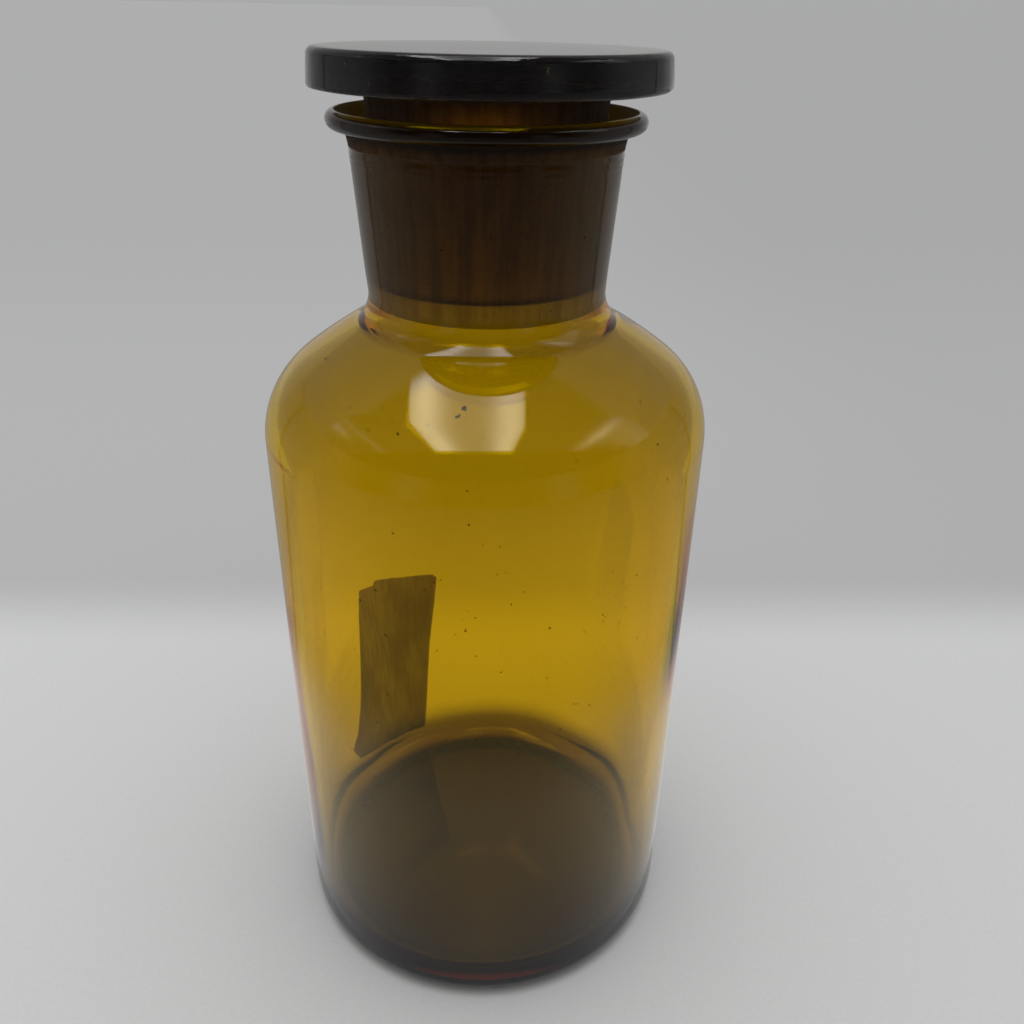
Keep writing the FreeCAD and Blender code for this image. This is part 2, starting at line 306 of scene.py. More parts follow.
def bottle_profile():
    """From the middle of the underside, up the outside, over the lip and down the inside.

    Also returns the heights between which the bore is ground.
    """
    ring_outer = BODY_RADIUS - HEEL_RADIUS
    waist = (NECK_WAIST_RADIUS, NECK_WAIST_Z)
    shoulder = (BODY_RADIUS - SHOULDER_RADIUS, SHOULDER_START_Z)
    shoulder_top = on_circle(shoulder, SHOULDER_RADIUS - SHOULDER_TOP_RADIUS, SHOULDER_TURN)
    turn_point = on_circle(shoulder, SHOULDER_RADIUS, SHOULDER_TURN)
    bead = (LIP_BEAD_CENTRE_RADIUS, LIP_TOP_Z - LIP_BEAD_RADIUS)
    low_centre, neck_start, shoulder_end = blend(
        waist, NECK_FLARE, shoulder_top, SHOULDER_TOP_RADIUS, NECK_BLEND_RADIUS, upper=True)
    high_centre, neck_end, bead_start = blend(
        waist, NECK_FLARE, bead, LIP_BEAD_RADIUS, UNDER_LIP_RADIUS, upper=False)
    under = dome_points((STANDING_RING_INNER_RADIUS, 0), (0, PUSH_UP_HEIGHT))[::-1]
    outside = chain(
        under,
        line_points((STANDING_RING_INNER_RADIUS, 0), (ring_outer, 0)),
        arc_points((ring_outer, HEEL_RADIUS), HEEL_RADIUS, (ring_outer, 0), (BODY_RADIUS, HEEL_RADIUS)),
        line_points((BODY_RADIUS, HEEL_RADIUS), (BODY_RADIUS, SHOULDER_START_Z)),
        arc_points(shoulder, SHOULDER_RADIUS, (BODY_RADIUS, SHOULDER_START_Z), turn_point),
        arc_points(shoulder_top, SHOULDER_TOP_RADIUS, turn_point, shoulder_end),
        arc_points(low_centre, NECK_BLEND_RADIUS, shoulder_end, neck_start),
        line_points(neck_start, neck_end, FINE_STEP),
        arc_points(high_centre, UNDER_LIP_RADIUS, neck_end, bead_start),
    )
    crest = (bead[0], LIP_TOP_Z)
    outermost = (bead[0] + LIP_BEAD_RADIUS, bead[1])
    mouth_radius = (bead[0] - neck_bore(LIP_TOP_Z)) / (1 - GROUND_TAPER)
    bore_top = (bead[0] - mouth_radius, LIP_TOP_Z - mouth_radius)
    lip = chain(
        arc_points(bead, LIP_BEAD_RADIUS, bead_start, outermost),
        arc_points(bead, LIP_BEAD_RADIUS, outermost, crest),
        arc_points((bead[0], bore_top[1]), mouth_radius, crest, bore_top),
    )
    inner = BODY_RADIUS - WALL
    centre, bore_end, shoulder_start = blend(
        bore_top, GROUND_TAPER, shoulder_top, SHOULDER_TOP_RADIUS - WALL, INNER_NECK_BLEND_RADIUS,
        upper=True)
    inner_turn_point = on_circle(shoulder, SHOULDER_RADIUS - WALL, SHOULDER_TURN)
    wall_top = (inner, SHOULDER_START_Z)
    heel_top = (inner, BASE_THICKNESS + INNER_HEEL_RADIUS)
    floor_edge = (inner - INNER_HEEL_RADIUS, BASE_THICKNESS)
    inside = chain(
        line_points(bore_top, bore_end),
        arc_points(centre, INNER_NECK_BLEND_RADIUS, bore_end, shoulder_start),
        arc_points(shoulder_top, SHOULDER_TOP_RADIUS - WALL, shoulder_start, inner_turn_point),
        arc_points(shoulder, SHOULDER_RADIUS - WALL, inner_turn_point, wall_top),
        line_points(wall_top, heel_top),
        arc_points((floor_edge[0], heel_top[1]), INNER_HEEL_RADIUS, heel_top, floor_edge),
        dome_points(floor_edge, (0, BASE_THICKNESS + BASE_CROWN)),
    )
    return chain(outside, lip, inside), (bore_end[1], bore_top[1]), len(outside) + len(lip) - 2


def stopper_profile():
    """From the middle of the head's top, round the head, down the plug and up its cavity."""
    top_corner = (HEAD_TOP_RADIUS - HEAD_TOP_EDGE, HEAD_TOP_Z - HEAD_TOP_EDGE)
    side_bottom = (HEAD_BOTTOM_RADIUS, HEAD_BOTTOM_Z + HEAD_BOTTOM_EDGE)
    bottom_corner = (HEAD_BOTTOM_RADIUS - HEAD_BOTTOM_EDGE, HEAD_BOTTOM_Z)
    root_z = HEAD_BOTTOM_Z - PLUG_ROOT_RADIUS
    root_centre = (PLUG_TOP_RADIUS + PLUG_ROOT_RADIUS, root_z)
    rim_z = PLUG_BOTTOM_Z + PLUG_RIM
    outer_rim = (plug_outside(rim_z), rim_z)
    inner_rim = (plug_outside(PLUG_BOTTOM_Z) - PLUG_WALL, rim_z)
    cavity_top = PLUG_BOTTOM_Z + PLUG_CAVITY_DEPTH
    corner_z = cavity_top - PLUG_CAVITY_CORNER
    corner_radius = cone_radius(corner_z, inner_rim[0], rim_z, -PLUG_CAVITY_DRAFT)
    corner_centre = (corner_radius - PLUG_CAVITY_CORNER, corner_z)
    return chain(
        line_points((0, HEAD_TOP_Z), (top_corner[0], HEAD_TOP_Z)),
        arc_points(top_corner, HEAD_TOP_EDGE, (top_corner[0], HEAD_TOP_Z), (HEAD_TOP_RADIUS, top_corner[1])),
        line_points((HEAD_TOP_RADIUS, top_corner[1]), side_bottom),
        arc_points((bottom_corner[0], side_bottom[1]), HEAD_BOTTOM_EDGE, side_bottom, bottom_corner),
        line_points(bottom_corner, (root_centre[0], HEAD_BOTTOM_Z)),
        arc_points(root_centre, PLUG_ROOT_RADIUS, (root_centre[0], HEAD_BOTTOM_Z),
                   (plug_outside(root_z), root_z)),
        line_points((plug_outside(root_z), root_z), outer_rim),
        arc_points((outer_rim[0] - PLUG_RIM, rim_z), PLUG_RIM, outer_rim,
                   (outer_rim[0] - PLUG_RIM, PLUG_BOTTOM_Z)),
        line_points((outer_rim[0] - PLUG_RIM, PLUG_BOTTOM_Z), (inner_rim[0] + PLUG_RIM, PLUG_BOTTOM_Z)),
        arc_points((inner_rim[0] + PLUG_RIM, rim_z), PLUG_RIM,
                   (inner_rim[0] + PLUG_RIM, PLUG_BOTTOM_Z), inner_rim),
        line_points(inner_rim, (corner_radius, corner_z)),
        arc_points(corner_centre, PLUG_CAVITY_CORNER, (corner_radius, corner_z),
                   (corner_centre[0], cavity_top)),
        line_points((corner_centre[0], cavity_top), (0, cavity_top)),
    )


# ---- meshes
def smooth_step(value, low, high):
    share = min(1.0, max(0.0, (value - low) / (high - low)))
    return share * share * (3 - 2 * share)


def turned(name, profile, shape=None):
    """A closed surface of revolution. shape(index, point) may move each vertex a little."""
    vertices = []
    rings = []
    for index, (radius, height) in enumerate(profile):
        count = 1 if radius < 1e-7 else SEGMENTS
        rings.append(list(range(len(vertices), len(vertices) + count)))
        for step in range(count):
            angle = 2 * math.pi * step / SEGMENTS
            place = Vector((radius * math.cos(angle), radius * math.sin(angle), height))
            vertices.append(shape(index, place) if shape else place)
    faces = []
    for low, high in zip(rings, rings[1:]):
        for step in range(SEGMENTS):
            after = (step + 1) % SEGMENTS
            corners = [low[step % len(low)], low[after % len(low)],
                       high[after % len(high)], high[step % len(high)]]
            faces.append(list(dict.fromkeys(corners)))
    mesh = bpy.data.meshes.new(name)
    mesh.from_pydata(vertices, [], faces)
    mesh.validate()
    form = bmesh.new()
    form.from_mesh(mesh)
    bmesh.ops.recalc_face_normals(form, faces=form.faces)
    form.to_mesh(mesh)
    form.free()
    mesh.shade_smooth()
    piece = bpy.data.objects.new(name, mesh)
    bpy.context.scene.collection.objects.link(piece)
    return piece


def mark(piece, name, level):
    """Writes level(ring, place) on every vertex, for a material to read.

    The ring is the index of the profile's point that the vertex was turned from.
    """
    values = piece.data.attributes.new(name, "FLOAT", "POINT").data
    for vertex, value in zip(piece.data.vertices, values):
        value.value = level((vertex.index + SEGMENTS - 1) // SEGMENTS, vertex.co)


def lean(place):
    """How far the glass is to the +X side at this height."""
    neck = smooth_step(place.z, SHOULDER_START_Z, NECK_WAIST_Z)
    full = smooth_step(place.z, SHOULDER_START_Z, SHOULDER_START_Z + SHOULDER_RADIUS * 0.8)
    full *= 1 - smooth_step(place.z, SHOULDER_START_Z + SHOULDER_RADIUS * 0.9, NECK_WAIST_Z + 4 * MM)
    return NECK_LEAN * neck + SHOULDER_LEAN * full


def pushed(place, distance):
    """The place moved outwards from the axis."""
    radius = max(math.hypot(place.x, place.y), 1e-6)
    return Vector((place.x * (1 + distance / radius), place.y * (1 + distance / radius), place.z))


def hump(value, middle, width):
    """1 at the middle, falling off softly to both sides."""
    return math.exp(-((value - middle) / width) ** 2)


def ridges(height):
    below = LIP_TOP_Z - height
    return RIDGE_HEIGHT * sum(hump(below, middle, RIDGE_WIDTH) for middle in RIDGE_PLACES)


def add_seed(form, place, size):
    """A bubble: a closed egg shape whose faces look into it, drawn out upwards."""
    made = bmesh.ops.create_icosphere(form, subdivisions=2, radius=size)
    for vertex in made["verts"]:
        vertex.co = Vector((vertex.co.x, vertex.co.y, vertex.co.z * SEED_STRETCH)) + place
    bubble = {face for vertex in made["verts"] for face in vertex.link_faces}
    for face in bubble:
        face.smooth = True
    bmesh.ops.reverse_faces(form, faces=list(bubble))


def add_seeds(piece, places):
    form = bmesh.new()
    form.from_mesh(piece.data)
    for place, size in places:
        add_seed(form, place, size)
    form.to_mesh(piece.data)
    form.free()


def build_bottle():
    profile, ground_heights, inside_from = bottle_profile()
    low, high = ground_heights

    def shape(index, place):
        radius = math.hypot(place.x, place.y)
        if index > inside_from:
            if place.z >= low:
                return place + Vector((lean(place), 0, 0))
            fade = smooth_step(low - place.z, 0, 15 * MM) * smooth_step(radius, 0, 20 * MM)
            wave = noise.noise(Vector((place.x, place.y, place.z * 0.45)) * 38.0)
            return pushed(place, wave * fade * WALL_WAVE) + Vector((lean(place), 0, 0))
        fade = smooth_step(place.z, HEEL_RADIUS, 3 * HEEL_RADIUS)
        wave = abs(noise.noise(Vector((place.x, place.y, place.z * 0.7)) * 32.0))
        on_neck = NECK_WAIST_Z < place.z and radius < LIP_BEAD_CENTRE_RADIUS
        raised = ridges(place.z) if on_neck else 0
        return pushed(place, raised - wave * fade * SKIN_WAVE) + Vector((lean(place), 0, 0))

    piece = turned("bottle_glass", profile, shape)
    chance = random.Random(11)
    places = []
    for _ in range(SEED_COUNT):
        angle = chance.uniform(0, 2 * math.pi)
        radius = BODY_RADIUS - WALL * chance.uniform(0.35, 0.6)
        height = chance.uniform(22 * MM, SHOULDER_START_Z)
        size = chance.uniform(0.10, 0.26) * MM
        places.append((Vector((radius * math.cos(angle), radius * math.sin(angle), height)), size))
    add_seeds(piece, places)

    def ground(ring, place):
        radius = math.hypot(place.x - NECK_LEAN, place.y)
        inside = radius < neck_bore(place.z) + 0.3 * MM
        mouth = radius < GROUND_MOUTH_RADIUS and high < place.z
        return 1.0 if mouth or inside and low - 0.1 * MM <= place.z <= high + 0.1 * MM else 0.0

    # painted shade on the inside of the shoulder
    def shoulder_shade(ring, place):
        inside = inside_from < ring < len(profile)
        return smooth_step(place.z, SHOULDER_SHADE_START_Z, SHOULDER_SHADE_FULL_Z) if inside and place.z < low else 0.0

    # painted shade on the outside of the lower wall, to the sides and towards the front
    def side_shade(ring, place):
        if ring > inside_from:
            return 0.0
        out = abs(place.x) - place.y * SIDE_SHADE_FORWARD
        sideways = smooth_step(out, SIDE_SHADE_START * BODY_RADIUS, BODY_RADIUS)
        return sideways * (1 - smooth_step(place.z, SIDE_SHADE_FULL_Z, SIDE_SHADE_END_Z))

    # painted shade on the base and on the lip
    def base_and_lip_shade(ring, place):
        lip = smooth_step(place.z, LIP_TOP_Z - LIP_SHADE_END, LIP_TOP_Z - LIP_SHADE)
        if ring > inside_from:
            return lip
        return max(lip, 1 - smooth_step(place.z, BASE_SHADE_Z, BASE_SHADE_END_Z))

    mark(piece, "ground", ground)
    mark(piece, "shoulder_shade", shoulder_shade)
    mark(piece, "side_shade", side_shade)
    mark(piece, "base_and_lip_shade", base_and_lip_shade)
    return piece


def build_stopper():
    edges = (HEAD_TOP_Z - HEAD_TOP_EDGE / 2, HEAD_BOTTOM_Z + HEAD_BOTTOM_EDGE / 2)
    nub = Vector((-HEAD_BOTTOM_RADIUS, 0, HEAD_BOTTOM_Z + NUB_ABOVE_EDGE))

    def shape(index, place):
        radius = math.hypot(place.x, place.y)
        near_edge = max(hump(place.z, edge, 1.2 * MM) for edge in edges)
        near_edge *= smooth_step(radius, HEAD_TOP_RADIUS - 3 * HEAD_TOP_EDGE, HEAD_TOP_RADIUS)
        wave = abs(noise.noise(place * 420.0)) + 0.6 * abs(noise.noise(place * 130.0))
        moved = pushed(place, -wave * near_edge * EDGE_WAVE)
        moved = pushed(moved, NUB_HEIGHT * hump((place - nub).length, 0, NUB_SIZE))
        head = smooth_step(place.z, HEAD_BOTTOM_Z - 1 * MM, HEAD_BOTTOM_Z + 1 * MM)
        moved.x += NECK_LEAN + HEAD_OFFSET * head
        return moved

    piece = turned("stopper_glass", stopper_profile(), shape)
    chance = random.Random(5)
    places = [(Vector((HEAD_SEED[0], HEAD_SEED[1], HEAD_TOP_Z - HEAD_SEED[2])), HEAD_SEED_SIZE)]
    for _ in range(HEAD_SMALL_SEEDS):
        angle, radius = chance.uniform(0, 2 * math.pi), HEAD_TOP_RADIUS - chance.uniform(0.8, 3.0) * MM
        height = chance.uniform(HEAD_BOTTOM_Z + 1.5 * MM, HEAD_TOP_Z - 1.5 * MM)
        place = Vector((radius * math.cos(angle), radius * math.sin(angle), height))
        places.append((place, HEAD_SMALL_SEED_SIZE))
    add_seeds(piece, places)
    ground_top = HEAD_BOTTOM_Z - PLUG_ROOT_RADIUS

    def ground(ring, place):
        radius = math.hypot(place.x - NECK_LEAN, place.y)
        outside = radius > plug_outside(place.z) - 0.2 * MM
        return 1.0 if outside and PLUG_BOTTOM_Z + PLUG_RIM / 2 < place.z < ground_top else 0.0

    mark(piece, "ground", ground)
    return piece


def torn_outline():
    """The scrap's edge as (metres round the wall, height), with a fibrous tear along it."""
    per_degree = math.radians(1) * BODY_RADIUS
    corners = [Vector((degrees * per_degree, height * MM)) for degrees, height in LABEL_OUTLINE]
    points = []
    for corner, following in zip(corners, corners[1:] + corners[:1]):
        along = following - corner
        across = Vector((along.y, -along.x)).normalized()
        steps = max(1, round(along.length / TEAR_STEP))
        for step in range(steps):
            place = corner + along * (step / steps)
            rough = noise.noise(Vector((place.x, place.y, 0)) * 420) * 0.55
            rough += noise.noise(Vector((place.x, place.y, 7)) * 1500) * 0.45
            ends = smooth_step(step / steps, 0, 0.12) * (1 - smooth_step(step / steps, 0.88, 1))
            points.append(place - across * (abs(rough) * TEAR_DEPTH * ends))
    return points


def near_tear(place, edge):
    """1 at the scrap's edge, 0 further in than the tear reaches, with a ragged limit."""
    ragged = 0.6 + 0.7 * abs(noise.noise(Vector((place.x * 500, place.y * 350, 1))))
    return 1 - smooth_step(edge.find((place.x, place.y, 0))[2], 0, TEAR_WIDTH * ragged)


def build_label():
    """The paper: a thin closed sheet on the wall, creased a little and thinned at its torn edge."""
    outline = torn_outline()
    count = len(outline)
    low = Vector((min(p.x for p in outline), min(p.y for p in outline)))
    high = Vector((max(p.x for p in outline), max(p.y for p in outline)))
    grid = [Vector((low.x + i * PAPER_GRID, low.y + j * PAPER_GRID))
            for i in range(int((high.x - low.x) / PAPER_GRID) + 1)
            for j in range(int((high.y - low.y) / PAPER_GRID) + 1)]
    edges = [(i, (i + 1) % count) for i in range(count)]
    edge = kdtree.KDTree(count)
    for index, place in enumerate(outline):
        edge.insert((place.x, place.y, 0), index)
    edge.balance()
    flat, _, faces, _, _, _ = geometry.delaunay_2d_cdt(
        outline + grid, edges, [list(range(count))], 1, 1e-7)
    vertices, tears = [], []
    for side in (0, 1):
        for place in flat:
            angle = place.x / BODY_RADIUS
            crease = 0.5 + 0.5 * noise.noise(Vector((place.x * 300, place.y * 60, 3)))
            torn = near_tear(place, edge)
            thick = LABEL_THICKNESS * (0.70 + 0.30 * crease) * (1 - 0.45 * torn)
            radius = BODY_RADIUS + LABEL_LIFT + thick * side
            vertices.append((-radius * math.sin(angle), radius * math.cos(angle), place.y))
            tears.append(torn)
    total = len(flat)
    rims = {}
    for face in faces:
        for first, second in zip(face, face[1:] + face[:1]):
            if (second, first) in rims:
                del rims[(second, first)]
            else:
                rims[(first, second)] = True
    sheet = [list(face) for face in faces] + [[total + i for i in face[::-1]] for face in faces]
    sheet += [[second, first, total + first, total + second] for first, second in rims]
    mesh = bpy.data.meshes.new("label_paper")
    mesh.from_pydata(vertices, [], sheet)
    levels = mesh.attributes.new("tear", "FLOAT", "POINT")
    levels.data.foreach_set("value", tears)
    form = bmesh.new()
    form.from_mesh(mesh)
    bmesh.ops.delete(form, geom=[v for v in form.verts if not v.link_faces], context="VERTS")
    bmesh.ops.recalc_face_normals(form, faces=form.faces)
    form.to_mesh(mesh)
    form.free()
    piece = bpy.data.objects.new("label_paper", mesh)
    bpy.context.scene.collection.objects.link(piece)
    return piece


# ---- materials
def new_material(name):
    material = bpy.data.materials.new(name)
    material.use_nodes = True
    nodes = material.node_tree.nodes
    return material, nodes, material.node_tree.links, nodes["Principled BSDF"], nodes["Material Output"]


def noise_at(nodes, links, where, stretch, detail):
    """Noise whose grains measure 1 / stretch metres along each axis."""
    scale = nodes.new("ShaderNodeMapping")
    scale.inputs["Scale"].default_value = stretch
    links.new(where.outputs["Object"], scale.inputs["Vector"])
    grain = nodes.new("ShaderNodeTexNoise")
    grain.inputs["Scale"].default_value = 1.0
    grain.inputs["Detail"].default_value = detail
    links.new(scale.outputs["Vector"], grain.inputs["Vector"])
    return grain.outputs["Fac"]


def spread(nodes, links, value, low, high, to_low=0.0, to_high=1.0):
    """Maps low..high to to_low..to_high, softly."""
    ramp = nodes.new("ShaderNodeMapRange")
    ramp.interpolation_type = "SMOOTHSTEP"
    ramp.inputs["From Min"].default_value = low
    ramp.inputs["From Max"].default_value = high
    ramp.inputs["To Min"].default_value = to_low
    ramp.inputs["To Max"].default_value = to_high
    links.new(value, ramp.inputs["Value"])
    return ramp.outputs["Result"]


def mixed(nodes, links, share, first, second):
    """Mixes two colours; each is a colour or an output."""
    mix = nodes.new("ShaderNodeMix")
    mix.data_type = "RGBA"
    links.new(share, mix.inputs["Factor"])
    for socket, value in zip((mix.inputs[6], mix.inputs[7]), (first, second)):
        if isinstance(value, tuple):
            socket.default_value = (*value, 1)
        else:
            links.new(value, socket)
    return mix.outputs[2]


def arithmetic(nodes, links, operation, first, second):
    """The result of a Math node; first and second are each a number or an output."""
    step = nodes.new("ShaderNodeMath")
    step.operation = operation
    for socket, value in zip(step.inputs, (first, second)):
        if isinstance(value, (int, float)):
            socket.default_value = value
        else:
            links.new(value, socket)
    return step.outputs["Value"]


def fleck_mask(nodes, links, where):
    """1 inside the dark fleck in the shoulder, 0 elsewhere."""
    nearest = 1.0
    for place in FLECK_PLACES:
        offset = nodes.new("ShaderNodeVectorMath")
        offset.operation = "DISTANCE"
        offset.inputs[1].default_value = place
        links.new(where.outputs["Object"], offset.inputs[0])
        nearest = arithmetic(nodes, links, "MINIMUM", offset.outputs["Value"], nearest)
    ragged = noise_at(nodes, links, where, (900, 900, 500), 2)
    edge = arithmetic(nodes, links, "MULTIPLY", ragged, FLECK_SIZE * 1.6)
    reach = arithmetic(nodes, links, "ADD", nearest, edge)
    return spread(nodes, links, reach, FLECK_SIZE * 1.1, FLECK_SIZE * 1.4, 1, 0)


def marked(nodes, name):
    level = nodes.new("ShaderNodeAttribute")
    level.attribute_name = name
    return level.outputs["Fac"]


def tinted(tone, tint):
    return tuple(a * b for a, b in zip(tone, tint))


def amber_glass(name, amber, skin, dust_share, blown=False):
    """Clear amber glass, frosted where the joint is ground, with dust on its skin.

    Blown glass also has the bottle's painted shade in the shoulder, on the lower sides, at the base and on
    the lip, and its fleck.
    """
    material, nodes, links, glass, output = new_material(name)
    glass.distribution = "GGX"
    glass.inputs["Transmission Weight"].default_value = 1.0 - dust_share
    glass.inputs["IOR"].default_value = GLASS_IOR
    absorb = nodes.new("ShaderNodeVolumeAbsorption")
    absorb.inputs["Color"].default_value = (*amber, 1)
    absorb.inputs["Density"].default_value = AMBER_DENSITY
    links.new(absorb.outputs["Volume"], output.inputs["Volume"])
    where = nodes.new("ShaderNodeTexCoord")
    frosted = marked(nodes, "ground")
    streaks = noise_at(nodes, links, where, (420, 420, 26), 4)
    grain = noise_at(nodes, links, where, (2600, 2600, 2600), 2)
    worn = arithmetic(nodes, links, "ADD", streaks, arithmetic(nodes, links, "MULTIPLY", grain, 0.35))
    grey = mixed(nodes, links, spread(nodes, links, worn, 0.52, 0.84),
                 tinted(GROUND_DARK, skin), tinted(GROUND_LIGHT, skin))
    tone = mixed(nodes, links, frosted, skin, grey)
    specks = spread(nodes, links, noise_at(nodes, links, where, (760, 760, 760), 1), 0.775, 0.80)
    tone = mixed(nodes, links, specks, tone, SPECK_TONE)
    if blown:
        # painted shade darkening the inside of the shoulder
        tone = mixed(nodes, links, marked(nodes, "shoulder_shade"), tone, tinted(SHOULDER_SHADE_TONE, skin))
        # painted shade darkening the lower wall to the left and right
        tone = mixed(nodes, links, marked(nodes, "side_shade"), tone, tinted(SIDE_SHADE_TONE, skin))
        # painted shade darkening the base and the lip
        tone = mixed(nodes, links, marked(nodes, "base_and_lip_shade"), tone, tinted(BASE_AND_LIP_SHADE_TONE, skin))
        tone = mixed(nodes, links, fleck_mask(nodes, links, where), tone, FLECK_TONE)
    links.new(tone, glass.inputs["Base Color"])
    clouds = noise_at(nodes, links, where, (55, 55, 90), 5)
    dust = spread(nodes, links, clouds, 0.55, 0.8, 0.0, DUST_ROUGHNESS)
    matt = arithmetic(nodes, links, "MULTIPLY", frosted, GROUND_ROUGHNESS)
    links.new(arithmetic(nodes, links, "MAXIMUM", matt, dust), glass.inputs["Roughness"])
    return material


def old_paper():
    """Brown paper, stained and brushed, with long fibres and a rough skin."""
    material, nodes, links, paper, _ = new_material("old_paper")
    where = nodes.new("ShaderNodeTexCoord")
    stain = spread(nodes, links, noise_at(nodes, links, where, (95, 95, 60), 4), 0.36, 0.66)
    fibres = spread(nodes, links, noise_at(nodes, links, where, (1300, 1300, 120), 4), 0.34, 0.68)
    flecks = spread(nodes, links, noise_at(nodes, links, where, (700, 700, 420), 1), 0.70, 0.76)
    base = mixed(nodes, links, stain, PAPER_STAINED, PAPER_CLEAN)
    base = mixed(nodes, links, arithmetic(nodes, links, "MULTIPLY", fibres, 0.5), base, PAPER_FIBRE)
    base = mixed(nodes, links, flecks, base, PAPER_TORN)
    tear = arithmetic(nodes, links, "MULTIPLY", marked(nodes, "tear"), 0.6)
    base = mixed(nodes, links, tear, base, PAPER_TORN)
    links.new(base, paper.inputs["Base Color"])
    paper.inputs["Roughness"].default_value = PAPER_ROUGHNESS
    paper.inputs["Transmission Weight"].default_value = PAPER_CLEARNESS
    paper.inputs["IOR"].default_value = PAPER_IOR
    paper.inputs["Specular IOR Level"].default_value = 0.25
    bump = nodes.new("ShaderNodeBump")
    bump.inputs["Strength"].default_value = 0.6
    bump.inputs["Distance"].default_value = PAPER_BUMP
    links.new(noise_at(nodes, links, where, (1500, 1500, 500), 5), bump.inputs["Height"])
    links.new(bump.outputs["Normal"], paper.inputs["Normal"])
    return material


# ---- stage
def build_floor():
    """A flat matt floor with painted shade: darker further behind the bottle and to the right, and a soft
    shade under it.
    """
    size = FLOOR_SIZE
    corners = [(-size, -size, 0), (size, -size, 0), (size, size, 0), (-size, size, 0)]
    mesh = bpy.data.meshes.new("floor")
    mesh.from_pydata(corners, [], [(0, 1, 2, 3)])
    floor = bpy.data.objects.new("floor", mesh)
    bpy.context.scene.collection.objects.link(floor)
    material, nodes, links, paint, _ = new_material("pale_floor")
    paint.inputs["Roughness"].default_value = 1.0
    paint.inputs["Specular IOR Level"].default_value = 0.0
    where = nodes.new("ShaderNodeTexCoord")
    split = nodes.new("ShaderNodeSeparateXYZ")
    links.new(where.outputs["Object"], split.inputs["Vector"])
    around = nodes.new("ShaderNodeMapping")
    around.inputs["Scale"].default_value = (1 / SHADE_HALF_WIDTH, 1 / SHADE_HALF_DEPTH, 0)
    around.inputs["Location"].default_value = (0, SHADE_FORWARD / SHADE_HALF_DEPTH, 0)
    links.new(where.outputs["Object"], around.inputs["Vector"])
    reach = nodes.new("ShaderNodeVectorMath")
    reach.operation = "LENGTH"
    links.new(around.outputs["Vector"], reach.inputs[0])
    # painted shade: the floor darkens behind the bottle and further back
    near = spread(nodes, links, split.outputs["Y"], FRONT_END_Y, NEAR_START_Y)
    shaded_behind = spread(nodes, links, split.outputs["Y"], SHADE_BEHIND_START_Y, SHADE_BEHIND_END_Y)
    far = spread(nodes, links, split.outputs["Y"], FAR_START_Y, FAR_END_Y)
    tone = mixed(nodes, links, near, FLOOR_FRONT, FLOOR_NEAR)
    tone = mixed(nodes, links, far, mixed(nodes, links, shaded_behind, tone, FLOOR_SHADED_BEHIND), FLOOR_FAR)
    shade = spread(nodes, links, reach.outputs["Value"], 0.94, 1.01, SHADE_LEFT_OVER, 1)
    mottle = noise_at(nodes, links, where, (900, 900, 900), 3)
    grain = spread(nodes, links, mottle, 0.3, 0.7, 0.97, 1.0)
    # painted shade: darker to the right
    right = spread(nodes, links, split.outputs["X"], 0.0, 0.35, 1, FLOOR_RIGHT)
    shade = arithmetic(nodes, links, "MULTIPLY", shade, right)
    scaled = nodes.new("ShaderNodeVectorMath")
    scaled.operation = "SCALE"
    links.new(tone, scaled.inputs[0])
    links.new(arithmetic(nodes, links, "MULTIPLY", shade, grain), scaled.inputs["Scale"])
    links.new(scaled.outputs["Vector"], paint.inputs["Base Color"])
    floor.data.materials.append(material)


def degrees_away(x, y):
    """How many degrees round the bottle a place is from its front."""
    return abs(math.degrees(math.atan2(x, -y)))


def corner_line(away):
    """Under 1 in the thin dark line where the backdrop ends on either side."""
    return 1 - CORNER_LINE * hump(away, CORNER_AWAY, CORNER_WIDTH)


def floor_glow(x, y, height):
    reach = math.hypot(x, y)
    away = degrees_away(x, y)
    front = 1 - smooth_step(away, 15, 105)
    past_corner = corner_line(away) * (1 + 0.35 * smooth_step(away, CORNER_AWAY, CORNER_AWAY + 4))
    near = NEAR_GLOW_FRONT * front + NEAR_GLOW_BACK * (1 - front)
    far = (FAR_GLOW_FRONT * front + FAR_GLOW_BACK * (1 - front)) * past_corner
    fall = smooth_step(reach, NEAR_GLOW_END, FAR_GLOW_START)
    beyond = smooth_step(reach, 0.5, ROOM_RADIUS) * front
    return (near * (1 - fall) + far * fall) * (1 - 0.7 * beyond)


def wall_glow(x, y, height):
    away = degrees_away(x, y)
    level = height / ROOM_HEIGHT
    side = 0.22 * smooth_step(away, 55, 90) + 0.20 * smooth_step(away, 122, 155)
    door = DOOR_GLOW * hump(away, DOOR_AWAY, DOOR_WIDTH)
    return WALL_GLOW + door + side * corner_line(away) * (1 - 0.3 * level)


def through_front(glow):
    """The same glow, fading into the pale surroundings to the sides, for light through glass."""
    def faded(x, y, z):
        away = degrees_away(x, y)
        side = FADE_LEAST + (1 - FADE_LEAST) * smooth_step(away, FADE_AWAY, FRONT_AWAY)
        return glow(x, y, z) * (1 - side) + SURROUNDINGS * side
    return faded


